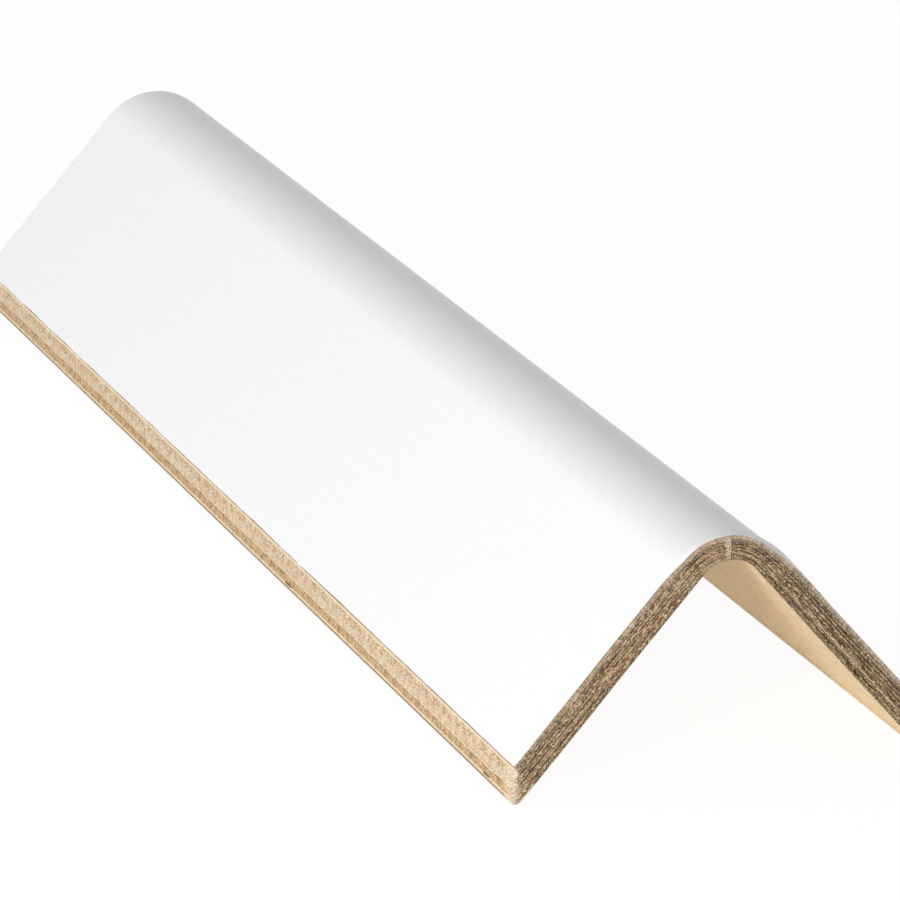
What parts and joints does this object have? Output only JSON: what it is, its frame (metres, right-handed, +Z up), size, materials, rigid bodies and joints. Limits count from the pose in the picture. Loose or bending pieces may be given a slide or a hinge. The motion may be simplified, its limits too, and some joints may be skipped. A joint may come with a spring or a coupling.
{
  "type": "pallet edge protector",
  "caption": "Length of laminated paperboard folded to a rounded V, white outside and brown inside, that guards the edges of a strapped pallet load.",
  "frame": {"origin": "middle of the length, midway between the two feet, on the surface that the feet stand on", "axes": "+Y along the fold, from the near cut end to the far one; +Z up through the fold; +X towards the right leg"},
  "size_m": [0.0664, 0.3, 0.0377],
  "materials": {
    "white_facing": "white coated paper with a soft sheen",
    "outer_wrap": "smooth light brown paper, matte",
    "ply_core": "pressed recycled board, rough and fibrous at the cut ends",
    "inner_liner": "smooth light brown paper, matte"
  },
  "bodies": {
    "root": {"white_facing": "white_facing", "outer_wrap": "outer_wrap", "ply_core": "ply_core", "inner_liner": "inner_liner"}
  },
  "joints": []
}
